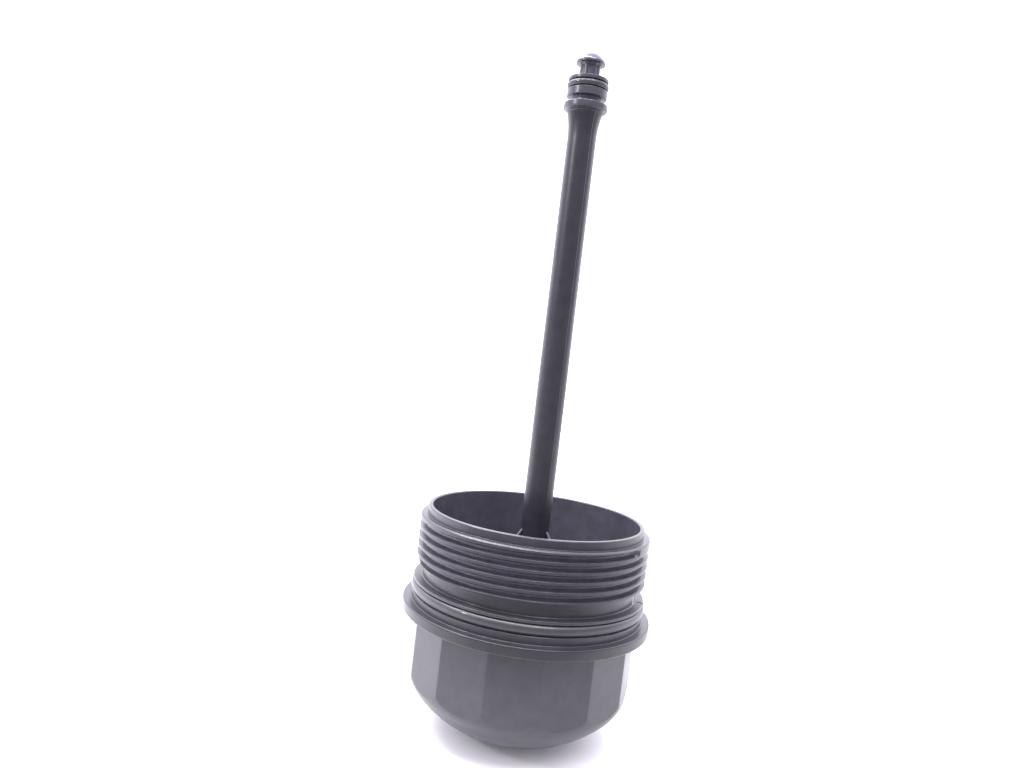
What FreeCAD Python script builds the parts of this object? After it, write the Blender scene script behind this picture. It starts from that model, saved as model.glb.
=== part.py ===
import FreeCAD, Part
import math
import os
import re

import Sketcher

# Oil filter housing cap, open end up, standing on its domed end. Millimetres, +Z up, axis on Z,
# origin at the middle of the foot. Azimuths turn about Z, and zero faces -Y.
# The pieces: the moulded cup, the rod pressed into its floor, and two sealing rings.

DOC = FreeCAD.newDocument("oil_filter_cap")
SHEET = DOC.addObject("Spreadsheet::Sheet", "sizes")
Vector = FreeCAD.Vector

# Sizes that can be set by themselves: alias, value, what it is
SIZES = [
    ("flats_across", 74.0, "over two opposite flats of the wrench drive"),
    ("flat_count", 14, "flats round the barrel"),
    ("barrel_swell", 0.25, "how far the barrel's round stands outside the corners of the flats"),
    ("foot_radius", 13.0, "flat spot that the cap stands on"),
    ("dome_radius", 45.0, "curve of the domed end"),
    ("knuckle_radius", 14.2, "curve between dome and barrel"),
    ("knuckle_turn", 44.0, "degrees that the knuckle turns through"),
    ("flange_level", 40.15, "underside of the flange above the foot"),
    ("flange_reach", 4.0, "how far the flange stands out of the barrel"),
    ("flange_thick", 3.55, "thickness of the flange"),
    ("flange_round", 0.45, "rounding of the flange's two edges"),
    ("land_height", 2.55, "lower wall of the seal groove"),
    ("land_stand", 3.0, "how far both walls of the seal groove stand out of the neck"),
    ("land_round", 0.2, "rounding of the walls' edges"),
    ("groove_width", 3.85, "height of the seal groove"),
    ("upper_wall", 1.0, "upper wall of the seal groove"),
    ("seal_section", 3.5, "thickness of the large sealing ring"),
    ("seal_proud", 0.5, "how far the large sealing ring stands out of its groove"),
    ("seal_slack", 0.06, "gap between a sealing ring and the floor of its groove"),
    ("neck_height", 5.3, "smooth neck between groove and thread"),
    ("neck_inset", 0.7, "how far the smooth neck lies inside the flats"),
    ("neck_foot", 2.1, "height of the slightly thicker foot of the neck"),
    ("neck_step", 0.15, "how much thicker that foot is"),
    ("neck_round", 0.4, "hollow rounding where the neck meets the seal groove's wall"),
    ("crease_depth", 0.12, "fine crease above the neck's foot"),
    ("thread_stand", 2.8, "how far the thread's crests stand out of the neck"),
    ("thread_length", 15.75, "threaded height"),
    ("thread_pitch", 3.03, "rise of the thread in one turn"),
    ("thread_depth", 1.8, "depth of the thread's groove"),
    ("thread_mouth", 2.2, "width of the groove at the crests"),
    ("thread_root", 0.7, "width of the groove at its bottom"),
    ("thread_start", 62.0, "azimuth where the groove starts"),
    ("thread_drop", 1.7, "from the thread's shoulder down to the groove's start"),
    ("crest_chamfer", 0.5, "chamfer of the shoulder above the thread"),
    ("lip_height", 2.85, "thin lip above the thread"),
    ("lip_stand", 0.55, "how far the lip stands out of the neck"),
    ("lip_wall", 1.45, "wall of the lip at the mouth"),
    ("lip_round", 0.35, "rounding of the lip's edges"),
    ("mouth_depth", 16.5, "depth of the wide part of the bore"),
    ("mouth_cone", 2.2, "height of the cone under the wide part"),
    ("mouth_draft", 0.25, "how much the wide part narrows over its depth"),
    ("barrel_wall", 3.0, "wall between the flats and the bore"),
    ("socket_height", 14.0, "top of the rod's socket above the foot"),
    ("socket_radius", 9.9, "outside of the socket and of the rod's shoulder"),
    ("spigot_radius", 4.2, "pressed end of the rod"),
    ("spigot_length", 8.0, "depth of the rod's end in its socket"),
    ("spigot_fit", 0.02, "gap round the pressed end"),
    ("spigot_gap", 0.4, "gap under the pressed end"),
    ("spigot_lead", 0.5, "chamfer that leads the pressed end in"),
    ("shoulder_thick", 3.0, "thickness of the rod's shoulder"),
    ("rod_root_radius", 4.95, "rod at its shoulder"),
    ("rod_top_radius", 4.85, "rod where its neck starts to flare"),
    ("rod_reach", 156.0, "tip of the rod above the cap's mouth"),
    ("fin_count", 3, "centring fins round the rod"),
    ("fin_thick", 1.3, "thickness of a centring fin"),
    ("fin_radius", 9.5, "outside of the fins"),
    ("fin_hold", 2.5, "how near the axis a fin starts inside the rod"),
    ("fin_top", 5.5, "from the mouth down to where a fin leaves the rod"),
    ("fin_slope", 55.0, "degrees that a fin's top slopes down"),
    ("flare_height", 9.4, "flared neck under the collar"),
    ("flare_radius", 6.2, "top of the flared neck"),
    ("collar_radius", 7.35, "outside of the collar"),
    ("collar_thick", 2.15, "thickness of the collar"),
    ("collar_chamfer", 0.4, "chamfer of the collar's edges"),
    ("spool_radius", 6.75, "outside of the spool's two lands"),
    ("spool_chamfer", 0.15, "chamfer of the lands' edges"),
    ("empty_groove", 1.95, "height of the lower groove of the spool"),
    ("empty_root", 4.75, "radius at the bottom of the lower groove"),
    ("lower_land", 2.6, "height of the spool's lower land"),
    ("tip_groove", 2.55, "height of the groove that holds the small ring"),
    ("tip_seal_section", 2.0, "thickness of the small sealing ring"),
    ("tip_seal_proud", 0.25, "how far the small sealing ring stands out of its groove"),
    ("upper_land", 1.2, "height of the spool's upper land"),
    ("stalk_radius", 3.5, "stalk between spool and head"),
    ("stalk_height", 4.95, "length of the stalk with its flared top"),
    ("stalk_flare", 0.8, "height of the stalk's flared top"),
    ("stalk_top_radius", 3.9, "stalk where it meets the head"),
    ("flute_count", 8, "flutes round the stalk"),
    ("flute_radius", 0.75, "radius of a flute"),
    ("flute_depth", 0.3, "how deep a flute is cut into the stalk"),
    ("head_radius", 4.9, "outside of the mushroom head"),
    ("head_edge", 0.6, "straight edge of the head"),
    ("head_height", 3.6, "domed top of the head"),
]

# Sizes worked out from those above
DERIVED = [
    ("flat_distance", "flats_across / 2"),
    ("corner_radius", "flat_distance / cos(180deg / flat_count)"),
    ("barrel_radius", "corner_radius + barrel_swell"),
    ("bore_radius", "flat_distance - barrel_wall"),
    ("neck_radius", "flat_distance - neck_inset"),
    ("flange_radius", "barrel_radius + flange_reach"),
    ("land_radius", "neck_radius + land_stand"),
    ("seal_radius", "land_radius + seal_proud"),
    ("thread_radius", "neck_radius + thread_stand"),
    ("lip_radius", "neck_radius + lip_stand"),
    ("tip_seal_radius", "spool_radius + tip_seal_proud"),
    ("flat_reach", "sqrt(barrel_radius ^ 2 - flat_distance ^ 2) + 0.5"),
    ("flat_clear", "barrel_radius + 0.5"),
    ("turn_cos", "cos(knuckle_turn * 1deg)"),
    ("turn_sin", "sin(knuckle_turn * 1deg)"),
    ("knuckle_x", "barrel_radius - knuckle_radius"),
    ("dome_x", "knuckle_x - (dome_radius - knuckle_radius) * turn_cos"),
    ("dome_z", "sqrt(dome_radius ^ 2 - (foot_radius - dome_x) ^ 2)"),
    ("knuckle_z", "dome_z - (dome_radius - knuckle_radius) * turn_sin"),
    ("turn_x", "knuckle_x + knuckle_radius * turn_cos"),
    ("turn_z", "knuckle_z - knuckle_radius * turn_sin"),
    ("inner_knuckle", "bore_radius - knuckle_x"),
    ("inner_dome", "dome_radius - knuckle_radius + inner_knuckle"),
    ("inner_turn_x", "knuckle_x + inner_knuckle * turn_cos"),
    ("inner_turn_z", "knuckle_z - inner_knuckle * turn_sin"),
    ("inner_floor", "dome_z - sqrt(inner_dome ^ 2 - (socket_radius - dome_x) ^ 2)"),
    ("flange_top", "flange_level + flange_thick"),
    ("groove_low", "flange_top + land_height"),
    ("groove_top", "groove_low + groove_width"),
    ("groove_middle", "groove_low + groove_width / 2"),
    ("neck_low", "groove_top + upper_wall"),
    ("neck_top", "neck_low + neck_height"),
    ("neck_foot_radius", "neck_radius + neck_step"),
    ("crease_low", "neck_low + neck_foot"),
    ("shoulder_level", "neck_top + thread_length"),
    ("rim_level", "shoulder_level + lip_height"),
    ("seal_middle", "seal_radius - seal_section / 2"),
    ("groove_floor", "seal_radius - seal_section - seal_slack"),
    ("thread_middle", "shoulder_level - thread_drop"),
    ("thread_floor", "thread_radius - thread_depth"),
    ("thread_clear", "thread_radius + 0.5"),
    ("thread_flank", "(thread_mouth - thread_root) / 2 * (1 + 0.5 / thread_depth)"),
    ("thread_run", "thread_length - thread_drop + thread_mouth / 2 + 0.2"),
    ("mouth_radius", "lip_radius - lip_wall"),
    ("mouth_low", "rim_level - mouth_depth"),
    ("spigot_low", "socket_height - spigot_length"),
    ("socket_low", "spigot_low - spigot_gap"),
    ("socket_bore", "spigot_radius + spigot_fit"),
    ("shoulder_top", "socket_height + shoulder_thick"),
    ("tip_level", "rim_level + rod_reach"),
    ("head_top_edge", "tip_level - head_height"),
    ("head_low", "head_top_edge - head_edge"),
    ("head_curve", "(head_radius ^ 2 + head_height ^ 2) / (2 * head_height)"),
    ("stalk_low", "head_low - stalk_height"),
    ("stalk_bend", "head_low - stalk_flare"),
    ("flute_middle", "stalk_radius - flute_depth + flute_radius"),
    ("upper_land_low", "stalk_low - upper_land"),
    ("tip_groove_low", "upper_land_low - tip_groove"),
    ("tip_groove_middle", "upper_land_low - tip_groove / 2"),
    ("lower_land_low", "tip_groove_low - lower_land"),
    ("collar_top", "lower_land_low - empty_groove"),
    ("collar_low", "collar_top - collar_thick"),
    ("flare_low", "collar_low - flare_height"),
    ("flare_out", "flare_radius - rod_top_radius"),
    ("flare_curve", "(flare_height ^ 2 + flare_out ^ 2) / (2 * flare_out)"),
    ("tip_seal_middle", "tip_seal_radius - tip_seal_section / 2"),
    ("tip_groove_floor", "tip_seal_radius - tip_seal_section - seal_slack"),
    ("fin_rise", "tan(fin_slope * 1deg)"),
    ("fin_leave", "rim_level - fin_top"),
    ("fin_bend", "fin_leave - (fin_radius - rod_root_radius) * fin_rise"),
    ("fin_peak", "fin_leave + (rod_root_radius - fin_hold) * fin_rise"),
    ("fin_low", "shoulder_top - shoulder_thick / 2"),
]

ALIASES = {entry[0]: "sizes." + entry[0] for entry in SIZES + DERIVED}


def fill_sheet():
    """Writes each size with its alias, then the sizes worked out from them."""
    row = 0
    for alias, value, meaning in SIZES:
        row += 1
        SHEET.set("A%d" % row, alias)
        SHEET.set("B%d" % row, str(value))
        SHEET.set("C%d" % row, meaning)
        SHEET.setAlias("B%d" % row, alias)
    for alias, formula in DERIVED:
        row += 1
        SHEET.set("A%d" % row, alias)
        SHEET.set("B%d" % row, "=" + formula)
        SHEET.setAlias("B%d" % row, alias)
    DOC.recompute()


def size(text):
    """The same expression with each word that is an alias turned into a reference to the sheet."""
    return re.sub(r"[a-z]\w*", lambda word: ALIASES.get(word.group(), word.group()), text)


def value(holder, text):
    """What an expression comes to now, as a plain number."""
    result = holder.evalExpression(size(text))
    return float(getattr(result, "Value", result))


def origin_plane(body, role):
    """One of a body's own origin planes."""
    for feature in body.Origin.OriginFeatures:
        if feature.Role == role:
            return feature
    raise ValueError(role)


def new_sketch(body, name, role, placement=None):
    """An empty sketch on one of the body's origin planes."""
    sketch = body.newObject("Sketcher::SketchObject", name)
    sketch.AttachmentSupport = (origin_plane(body, role), [""])
    sketch.MapMode = "FlatFace"
    if placement:
        sketch.AttachmentOffset = placement
    return sketch


def bind(sketch, kind, first, first_point, second, second_point, text):
    """A dimension between two points of a sketch, driven by the sheet."""
    number = sketch.addConstraint(
        Sketcher.Constraint(kind, first, first_point, second, second_point, value(sketch, text))
    )
    sketch.setExpression("Constraints[%d]" % number, size(text))


def arc_between(start, end, radius, left):
    """An arc from start to end with its centre to the left or right of the way, and its end order."""
    chord = end - start
    middle = (start + end) * 0.5
    side = Vector(-chord.y, chord.x, 0).normalize()
    lift = math.sqrt(max(radius ** 2 - (chord.Length / 2) ** 2, 0.0))
    centre = middle + side * (lift if left else -lift)
    first, last = (start, end) if left else (end, start)
    angles = [math.atan2(point.y - centre.y, point.x - centre.x) for point in (first, last)]
    circle = Part.Circle(centre, Vector(0, 0, 1), radius)
    return Part.ArcOfCircle(circle, angles[0], angles[1]), (1, 2) if left else (2, 1)


def draw_outline(sketch, corners):
    """A closed outline. A corner is (x, y), or (x, y, radius, left) where an arc leaves it."""
    points = [Vector(value(sketch, c[0]), value(sketch, c[1]), 0) for c in corners]
    ends = []
    for index, corner in enumerate(corners):
        start = points[index]
        end = points[(index + 1) % len(points)]
        if len(corner) == 2:
            number = sketch.addGeometry(Part.LineSegment(start, end), False)
            ends.append((number, 1, 2))
        else:
            arc, order = arc_between(start, end, value(sketch, corner[2]), corner[3])
            number = sketch.addGeometry(arc, False)
            ends.append((number, order[0], order[1]))
    for index in range(len(corners)):
        here, after = ends[index], ends[(index + 1) % len(ends)]
        sketch.addConstraint(Sketcher.Constraint("Coincident", here[0], here[2], after[0], after[1]))
    for index, corner in enumerate(corners):
        number, start = ends[index][0], ends[index][1]
        if corner[0] == "0":
            sketch.addConstraint(Sketcher.Constraint("PointOnObject", number, start, -2))
        else:
            bind(sketch, "DistanceX", -1, 1, number, start, corner[0])
        if corner[1] == "0":
            sketch.addConstraint(Sketcher.Constraint("PointOnObject", number, start, -1))
        else:
            bind(sketch, "DistanceY", -1, 1, number, start, corner[1])
        if len(corner) > 2:
            bound = sketch.addConstraint(
                Sketcher.Constraint("Radius", number, value(sketch, corner[2]))
            )
            sketch.setExpression("Constraints[%d]" % bound, size(corner[2]))


def turned(body, name, sketch):
    """A full turn of a half outline about the axis."""
    feature = body.newObject("PartDesign::Revolution", name)
    feature.Profile = sketch
    feature.ReferenceAxis = (sketch, ["V_Axis"])
    feature.Angle = 360.0
    sketch.Visibility = False
    DOC.recompute()
    return feature


def round_pattern(body, name, feature, axis, count):
    """A feature repeated round the axis."""
    pattern = body.newObject("PartDesign::PolarPattern", name)
    pattern.Originals = [feature]
    pattern.Axis = axis
    pattern.Angle = 360.0
    pattern.setExpression("Occurrences", size(count))
    body.Tip = pattern
    DOC.recompute()
    return pattern


def ring_edges(shape, rings):
    """Names of the round edges that have one of the given radii and heights."""
    names = []
    for number, edge in enumerate(shape.Edges, 1):
        if not isinstance(edge.Curve, Part.Circle):
            continue
        for radius, height in rings:
            same = abs(edge.Curve.Radius - radius) < 1e-4
            if same and abs(edge.Curve.Center.z - height) < 1e-4:
                names.append("Edge%d" % number)
    return names


def rounded_rings(body, name, feature, radius, rings):
    """Rounds the circular edges that have the radii and heights given."""
    places = [(value(SHEET, ring[0]), value(SHEET, ring[1])) for ring in rings]
    names = ring_edges(feature.Shape, places)
    if len(names) != len(rings):
        raise ValueError("%s found %d edges" % (name, len(names)))
    rounding = body.newObject("PartDesign::Fillet", name)
    rounding.Base = (feature, names)
    rounding.setExpression("Radius", size(radius))
    DOC.recompute()
    return rounding


def new_body(label):
    """A body with its own label and place."""
    body = DOC.addObject("PartDesign::Body", label)
    body.Label = label
    body.Placement = FreeCAD.Placement()
    return body


def cap_outline():
    """Half section of the cup: up the outside, over the lip and down the inside."""
    outside = [
        ("0", "0"),
        ("foot_radius", "0", "dome_radius", True),
        ("turn_x", "turn_z", "knuckle_radius", True),
        ("barrel_radius", "knuckle_z"),
        ("barrel_radius", "flange_level"),
        ("flange_radius", "flange_level"),
        ("flange_radius", "flange_top"),
        ("land_radius", "flange_top"),
        ("land_radius", "groove_low"),
        ("groove_floor", "groove_low"),
        ("groove_floor", "groove_top"),
        ("land_radius", "groove_top"),
        ("land_radius", "neck_low"),
        ("neck_foot_radius + neck_round", "neck_low", "neck_round", False),
        ("neck_foot_radius", "neck_low + neck_round"),
        ("neck_foot_radius", "crease_low"),
        ("neck_radius - crease_depth", "crease_low + crease_depth"),
        ("neck_radius", "crease_low + crease_depth * 2"),
        ("neck_radius", "neck_top"),
        ("thread_radius", "neck_top"),
        ("thread_radius", "shoulder_level - crest_chamfer"),
        ("thread_radius - crest_chamfer", "shoulder_level"),
        ("lip_radius", "shoulder_level"),
        ("lip_radius", "rim_level"),
    ]
    inside = [
        ("mouth_radius", "rim_level"),
        ("mouth_radius - mouth_draft", "mouth_low"),
        ("bore_radius", "mouth_low - mouth_cone"),
        ("bore_radius", "knuckle_z", "inner_knuckle", False),
        ("inner_turn_x", "inner_turn_z", "inner_dome", False),
        ("socket_radius", "inner_floor"),
        ("socket_radius", "socket_height"),
        ("socket_bore", "socket_height"),
        ("socket_bore", "socket_low"),
        ("0", "socket_low"),
    ]
    return outside + inside


def cut_flats(body):
    """The flats that a wrench holds, cut from the round barrel up to the flange."""
    sketch = new_sketch(body, "flat_outline", "XY_Plane")
    corners = [
        ("0 - flat_reach", "flat_distance"),
        ("flat_reach", "flat_distance"),
        ("flat_reach", "flat_clear"),
        ("0 - flat_reach", "flat_clear"),
    ]
    draw_outline(sketch, corners)
    pocket = body.newObject("PartDesign::Pocket", "flat_cut")
    pocket.Profile = sketch
    pocket.Reversed = True
    pocket.setExpression("Length", size("flange_level"))
    sketch.Visibility = False
    DOC.recompute()
    return round_pattern(body, "flats", pocket, (sketch, ["N_Axis"]), "flat_count")


def cut_thread(body):
    """The thread's groove, which starts square at one azimuth and runs down into the smooth neck."""
    turn = FreeCAD.Rotation(Vector(0, 1, 0), value(SHEET, "thread_start") - 90.0)
    sketch = new_sketch(body, "thread_groove", "XZ_Plane", FreeCAD.Placement(Vector(), turn))
    corners = [
        ("thread_floor", "thread_middle - thread_root / 2"),
        ("thread_clear", "thread_middle - thread_root / 2 - thread_flank"),
        ("thread_clear", "thread_middle + thread_root / 2 + thread_flank"),
        ("thread_floor", "thread_middle + thread_root / 2"),
    ]
    draw_outline(sketch, corners)
    DOC.recompute()
    groove = body.newObject("PartDesign::SubtractiveHelix", "thread")
    groove.Profile = sketch
    groove.ReferenceAxis = (sketch, ["V_Axis"])
    groove.Mode = 0
    groove.setExpression("Pitch", size("thread_pitch"))
    groove.setExpression("Height", size("thread_run"))
    groove.Reversed = True
    groove.LeftHanded = False
    sketch.Visibility = False
    DOC.recompute()
    return groove


def build_cap():
    """The moulded cup with its drive, seal groove, thread and rod socket."""
    body = new_body("cap_body")
    sketch = new_sketch(body, "cap_section", "XZ_Plane")
    draw_outline(sketch, cap_outline())
    turned(body, "cap_turned", sketch)
    feature = cut_flats(body)
    rings = [("flange_radius", "flange_level"), ("flange_radius", "flange_top")]
    feature = rounded_rings(body, "flange_rounding", feature, "flange_round", rings)
    rings = [
        ("land_radius", "groove_low"),
        ("land_radius", "groove_top"),
        ("land_radius", "neck_low"),
    ]
    feature = rounded_rings(body, "wall_rounding", feature, "land_round", rings)
    rings = [("lip_radius", "rim_level"), ("mouth_radius", "rim_level")]
    rounded_rings(body, "lip_rounding", feature, "lip_round", rings)
    cut_thread(body)
    return body


def rod_outline():
    """Half section of the rod, from the pressed end up to the mushroom head."""
    lower = [
        ("0", "spigot_low"),
        ("spigot_radius - spigot_lead", "spigot_low"),
        ("spigot_radius", "spigot_low + spigot_lead"),
        ("spigot_radius", "socket_height"),
        ("socket_radius", "socket_height"),
        ("socket_radius", "shoulder_top"),
        ("rod_root_radius", "shoulder_top"),
        ("rod_root_radius", "rim_level"),
        ("rod_top_radius", "flare_low", "flare_curve", False),
        ("flare_radius", "collar_low"),
        ("collar_radius - collar_chamfer", "collar_low"),
        ("collar_radius", "collar_low + collar_chamfer"),
        ("collar_radius", "collar_top - collar_chamfer"),
        ("collar_radius - collar_chamfer", "collar_top"),
        ("empty_root", "collar_top"),
        ("empty_root", "lower_land_low"),
    ]
    upper = [
        ("spool_radius - spool_chamfer", "lower_land_low"),
        ("spool_radius", "lower_land_low + spool_chamfer"),
        ("spool_radius", "tip_groove_low - spool_chamfer"),
        ("spool_radius - spool_chamfer", "tip_groove_low"),
        ("tip_groove_floor", "tip_groove_low"),
        ("tip_groove_floor", "upper_land_low"),
        ("spool_radius - spool_chamfer", "upper_land_low"),
        ("spool_radius", "upper_land_low + spool_chamfer"),
        ("spool_radius", "stalk_low - spool_chamfer"),
        ("spool_radius - spool_chamfer", "stalk_low"),
        ("stalk_radius", "stalk_low"),
        ("stalk_radius", "stalk_bend"),
        ("stalk_top_radius", "head_low"),
        ("head_radius", "head_low"),
        ("head_radius", "head_top_edge", "head_curve", True),
        ("0", "tip_level"),
    ]
    return lower + upper


def add_fins(body):
    """The fins that centre the rod, from its shoulder up to a sloping top."""
    sketch = new_sketch(body, "fin_outline", "YZ_Plane")
    corners = [
        ("fin_hold", "fin_low"),
        ("fin_radius", "fin_low"),
        ("fin_radius", "fin_bend"),
        ("fin_hold", "fin_peak"),
    ]
    draw_outline(sketch, corners)
    pad = body.newObject("PartDesign::Pad", "fin")
    pad.Profile = sketch
    pad.setExpression("Length", size("fin_thick"))
    pad.Midplane = True
    sketch.Visibility = False
    DOC.recompute()
    return round_pattern(body, "fins", pad, (sketch, ["V_Axis"]), "fin_count")


def cut_flutes(body):
    """Hollow flutes along the stalk."""
    sketch = new_sketch(body, "flute_outline", "XY_Plane")
    sketch.setExpression(".AttachmentOffset.Base.z", size("stalk_low"))
    place = Vector(0, -value(sketch, "flute_middle"), 0)
    circle = Part.Circle(place, Vector(0, 0, 1), value(sketch, "flute_radius"))
    number = sketch.addGeometry(circle, False)
    sketch.addConstraint(Sketcher.Constraint("PointOnObject", number, 3, -2))
    bind(sketch, "DistanceY", number, 3, -1, 1, "flute_middle")
    bound = sketch.addConstraint(
        Sketcher.Constraint("Radius", number, value(sketch, "flute_radius"))
    )
    sketch.setExpression("Constraints[%d]" % bound, size("flute_radius"))
    pocket = body.newObject("PartDesign::Pocket", "flute")
    pocket.Profile = sketch
    pocket.Reversed = True
    pocket.setExpression("Length", size("stalk_height - stalk_flare"))
    sketch.Visibility = False
    DOC.recompute()
    return round_pattern(body, "flutes", pocket, (sketch, ["N_Axis"]), "flute_count")


def build_rod():
    """The rod with its centring fins, spool and fluted stalk."""
    body = new_body("centre_rod")
    sketch = new_sketch(body, "rod_section", "XZ_Plane")
    draw_outline(sketch, rod_outline())
    turned(body, "rod_turned", sketch)
    add_fins(body)
    cut_flutes(body)
    return body


def build_ring(label, middle, section, level):
    """A round sealing ring lying in its groove."""
    ring = DOC.addObject("Part::Torus", label)
    ring.Label = label
    ring.setExpression("Radius1", size(middle))
    ring.setExpression("Radius2", size(section + " / 2"))
    ring.setExpression(".Placement.Base.z", size(level))
    DOC.recompute()
    return ring


def check_and_export(pieces):
    """Stops on anything that isn't sound, and writes each piece under its label."""
    for item in DOC.Objects:
        for word in ("Invalid", "Error"):
            if word in item.State:
                raise ValueError("%s is %s" % (item.Name, word))
    for piece in pieces:
        shape = piece.Shape
        if shape.isNull() or not shape.isValid() or len(shape.Solids) != 1:
            raise ValueError(piece.Label + " isn't one sound solid")
    os.makedirs("parts", exist_ok=True)
    for piece in pieces:
        piece.Shape.exportStep("parts/%s.step" % piece.Label)
        print(piece.Label, round(piece.Shape.Volume, 1), piece.Shape.optimalBoundingBox())


fill_sheet()
cap = build_cap()
rod = build_rod()
cap_seal = build_ring("cap_seal", "seal_middle", "seal_section", "groove_middle")
tip_seal = build_ring("tip_seal", "tip_seal_middle", "tip_seal_section", "tip_groove_middle")
check_and_export([cap, rod, cap_seal, tip_seal])
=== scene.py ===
import math

import bmesh
import bpy
import numpy as np
from mathutils import Matrix, Vector


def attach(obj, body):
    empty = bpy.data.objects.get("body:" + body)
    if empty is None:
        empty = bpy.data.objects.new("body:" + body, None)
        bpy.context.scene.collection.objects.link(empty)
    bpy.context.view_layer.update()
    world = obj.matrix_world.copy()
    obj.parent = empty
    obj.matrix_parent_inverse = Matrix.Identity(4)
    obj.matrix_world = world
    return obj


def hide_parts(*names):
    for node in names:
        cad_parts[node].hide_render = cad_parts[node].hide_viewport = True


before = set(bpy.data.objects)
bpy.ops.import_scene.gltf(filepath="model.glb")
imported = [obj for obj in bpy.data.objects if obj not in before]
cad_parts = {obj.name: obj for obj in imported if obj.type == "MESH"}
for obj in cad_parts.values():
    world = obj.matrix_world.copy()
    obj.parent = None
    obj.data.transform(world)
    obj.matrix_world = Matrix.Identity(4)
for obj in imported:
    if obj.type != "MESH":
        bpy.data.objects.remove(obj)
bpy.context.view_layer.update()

# An oil filter housing cap, open end up, on a pale floor. Metres, +Z up, axis on Z.
# Sizes of the object are in millimetres, as (radius, height above the foot), and are scaled when a
# mesh is made. Those of the floor and the lamps are in metres.
# Azimuths turn about Z in degrees: zero faces -Y, and they grow toward +X.
MM = 0.001

# The wrench drive and the domed end
FLAT_COUNT = 14
FLAT_DISTANCE = 37.0
BARREL_RADIUS = 38.2
FOOT_RADIUS = 13.0
DOME_RADIUS = 45.0
KNUCKLE_RADIUS = 14.2
KNUCKLE_TURN = math.radians(44.0)
BORE_RADIUS = 34.0
# The dome's line stops this far inside the foot's edge, and has so many points on dome and knuckle
FOOT_INSET = 0.4
DOME_POINTS = 14
KNUCKLE_POINTS = 13
# The same inside the cup
INNER_DOME_POINTS = 10
INNER_KNUCKLE_POINTS = 9
# The crease under a flat: the angle in radians by which the knuckle stops short of it, the points
# that round it off, as (in from the flat, up from the crease), and where the plain flat starts
CREASE_SHORT = 0.025
CREASE_POINTS = ((0.03, 0.02), (0.0, 0.35), (0.0, 0.8))
CREASE_TOP = 8.0
# A corner of the flats: how wide and deep its softening is in radius, how near it in degrees the
# next column of the mesh stands, and how many columns stand between two corners
CORNER_WIDTH = 0.08
CORNER_CUT = 0.035
CORNER_NEAR = 0.35
FLAT_COLUMNS = 21

# Heights above the foot, from the flange up to the rim
FLANGE_LOW = 40.15
FLANGE_TOP = 43.7
GROOVE_LOW = 46.25
GROOVE_TOP = 50.1
NECK_LOW = 51.1
NECK_TOP = 56.4
SHOULDER = 72.15
RIM = 75.0

# Radii, from the flange up to the mouth
FLANGE_RADIUS = 42.2
LAND_RADIUS = 39.3
GROOVE_FLOOR = 36.24
NECK_RADIUS = 36.3
THREAD_RADIUS = 39.1
LIP_RADIUS = 36.85
MOUTH_RADIUS = 35.4

# Roundings, from the flange's foot up to the lip
FLANGE_FILLET = 0.5
FLANGE_ROUND_LOW = 0.5
FLANGE_ROUND_TOP = 0.45
LAND_ROUND_LOW = 0.25
LAND_ROUND_TOP = 0.28
GROOVE_ROUND = 0.3
WALL_ROUND = 0.25
NECK_ROUND = 0.45
CHAMFER_ROUND_LOW = 0.2
CHAMFER_ROUND_TOP = 0.35
LIP_ROUND_LOW = 0.15
LIP_ROUND_TOP = 0.5
MOUTH_ROUND = 0.45
# Where the flange's underside passes from one line to the next, in from its edge
FLANGE_HALFWAY = 1.0
# The neck's slightly thicker foot: its step, the step's two ends and where the neck's line ends,
# counted from the top of the wall
NECK_STEP = 0.08
NECK_STEP_LOW = 2.05
NECK_STEP_TOP = 2.3
NECK_LINE_TOP = 3.5

# Inside the mouth: draft and depth of the wide part, end of the cone, and the hole for the spigot
MOUTH_DRAFT = 0.25
MOUTH_DEPTH = 16.5
CONE_DEPTH = 18.7
HOLE_RADIUS = 4.22
HOLE_LOW = 5.6

# The thread's groove, which starts square at one azimuth and runs down to the left from there
PITCH = 3.03
THREAD_START = 62.0
THREAD_TOP = 70.45
GROOVE_DEPTH = 1.8
GROOVE_MOUTH = 2.2
GROOVE_ROOT = 0.7
# The rounding at a crest and the flat it starts from, the rounding at the root, the chamfer under
# the shoulder, and how far the groove stays below that chamfer
CREST_ROUND = 0.22
CREST_WIDTH = 0.4
ROOT_ROUND = 0.25
CREST_CHAMFER = 0.5
CREST_MARGIN = 0.1
# The degrees over which the groove grows to its whole depth, the share of the depth it starts with,
# and the mesh's columns on the way
START_RAMP = 5.0
START_SHARE = 0.06
RAMP_COLUMNS = 5
# How far below the shoulder the line above the thread starts
SHOULDER_FROM = 3.0

# A small nick across the upper wall of the seal groove, with a pale painted glint beside it on
# the neck
NICK_AZIMUTH = 79.8
NICK_HALF = 0.9
NICK_DEPTH = 0.7
# What the nick lowers: all that stands so far out of the neck, down to so far below the wall's top
NICK_OUT = 0.7
NICK_DOWN = 0.4
# The painted glint's radius, azimuth and height, its reach, the share of the reach in which it is
# full, and how far its edge wanders
GLINT_SPOT = (36.3, 75.0, 52.5)
GLINT_SPOT_REACH = 1.5
GLINT_SPOT_CORE = 0.6
GLINT_SPOT_WANDER = 0.9
GLINT_SPOT_COLOUR = (0.5, 0.5, 0.52, 1.0)

# The rod, from its spigot in the cup's floor up to its tip. First its radii
SPIGOT_RADIUS = 4.2
SPIGOT_CHAMFER = 0.5
SHOULDER_RADIUS = 9.9
ROD_ROOT = 4.95
ROD_TOP = 4.85
FLARE_OUT = 6.2
COLLAR_RADIUS = 7.35
SPOOL_RADIUS = 6.75
EMPTY_ROOT = 4.75
TIP_GROOVE_DEPTH = 1.81
STALK_RADIUS = 3.5
STALK_TOP = 3.9
HEAD_RADIUS = 4.9
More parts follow.
